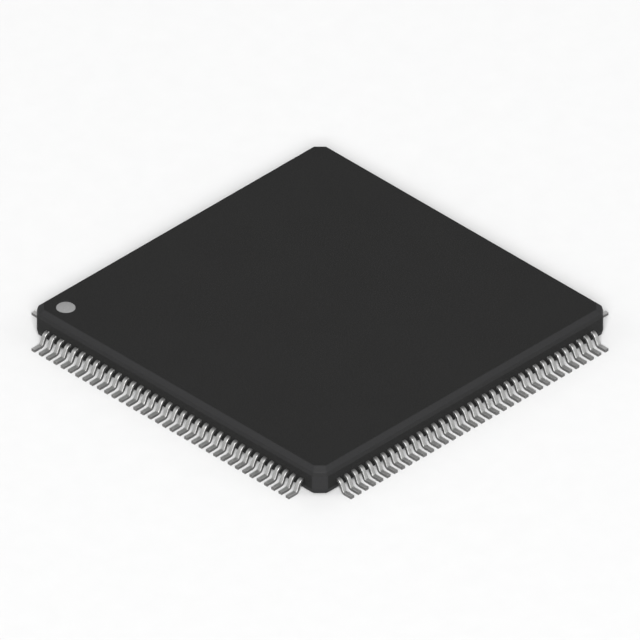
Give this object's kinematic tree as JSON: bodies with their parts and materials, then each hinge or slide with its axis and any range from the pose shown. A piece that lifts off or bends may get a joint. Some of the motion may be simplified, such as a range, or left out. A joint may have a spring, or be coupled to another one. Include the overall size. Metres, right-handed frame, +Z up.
{
  "type": "integrated circuit",
  "caption": "Low square integrated circuit moulded in black epoxy, with fine gull-wing leads on every side for soldering to a board.",
  "frame": {"origin": "middle of the package on the plane that the lead feet stand on", "axes": "+Z up out of the board; the marked corner of lead one is at -X +Y, and the leads are counted anticlockwise seen from +Z, starting down the -X side"},
  "size_m": [0.022, 0.022, 0.0016],
  "materials": {
    "moulded_epoxy": "fine matt moulded",
    "tin_plated_copper": "matt tin plating",
    "gold_wire": "bright drawn gold",
    "copper_alloy": "stamped copper alloy",
    "silver_adhesive": "cured silver-filled adhesive",
    "silicon": "polished silicon",
    "mark_ink": "light grey marking ink"
  },
  "bodies": {
    "root": {"moulded_body": "moulded_epoxy", "leads_001_to_012": "tin_plated_copper", "leads_013_to_024": "tin_plated_copper", "leads_025_to_036": "tin_plated_copper", "leads_037_to_048": "tin_plated_copper", "leads_049_to_060": "tin_plated_copper", "leads_061_to_072": "tin_plated_copper", "leads_073_to_084": "tin_plated_copper", "leads_085_to_096": "tin_plated_copper", "leads_097_to_108": "tin_plated_copper", "leads_109_to_120": "tin_plated_copper", "leads_121_to_132": "tin_plated_copper", "leads_133_to_144": "tin_plated_copper", "bond_wires_001_to_012": "gold_wire", "bond_wires_013_to_024": "gold_wire", "bond_wires_025_to_036": "gold_wire", "bond_wires_037_to_048": "gold_wire", "bond_wires_049_to_060": "gold_wire", "bond_wires_061_to_072": "gold_wire", "bond_wires_073_to_084": "gold_wire", "bond_wires_085_to_096": "gold_wire", "bond_wires_097_to_108": "gold_wire", "bond_wires_109_to_120": "gold_wire", "bond_wires_121_to_132": "gold_wire", "bond_wires_133_to_144": "gold_wire", "die_paddle": "copper_alloy", "die_attach": "silver_adhesive", "silicon_die": "silicon", "lead_one_mark": "mark_ink"}
  },
  "joints": []
}
